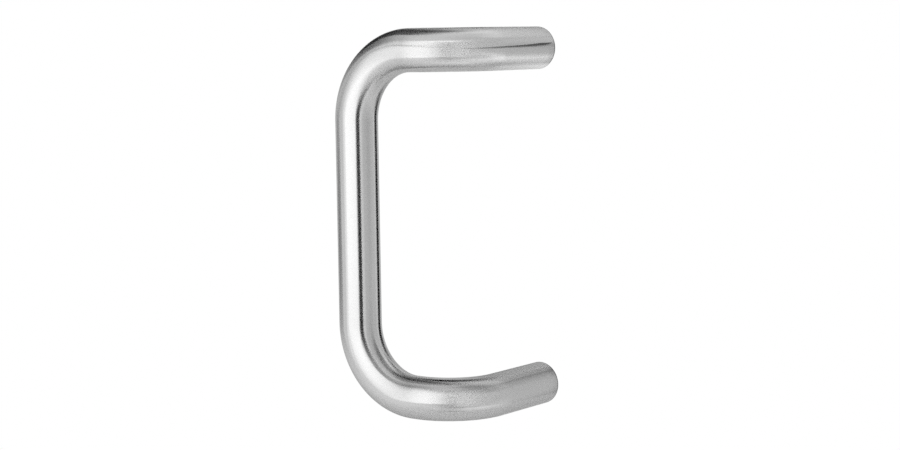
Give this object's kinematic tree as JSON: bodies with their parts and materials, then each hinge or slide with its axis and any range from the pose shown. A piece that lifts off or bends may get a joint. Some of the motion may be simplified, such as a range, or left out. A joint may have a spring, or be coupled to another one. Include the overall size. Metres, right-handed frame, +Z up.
{
  "type": "offset pull handle",
  "caption": "Offset door pull handle: a solid round bar bent so that its straight grip stands off the door and to one side of its bolted feet.",
  "frame": {"origin": "on the door face, midway between the two bolt holes in the feet", "axes": "+Z up along the grip, +Y into the door and out of the feet, -X from the feet towards the grip"},
  "size_m": [0.1016, 0.0921, 0.2286],
  "materials": {
    "satin_stainless": "satin stainless steel with fine brushing round the bar"
  },
  "bodies": {
    "root": {"pull_bar": "satin_stainless"}
  },
  "joints": []
}
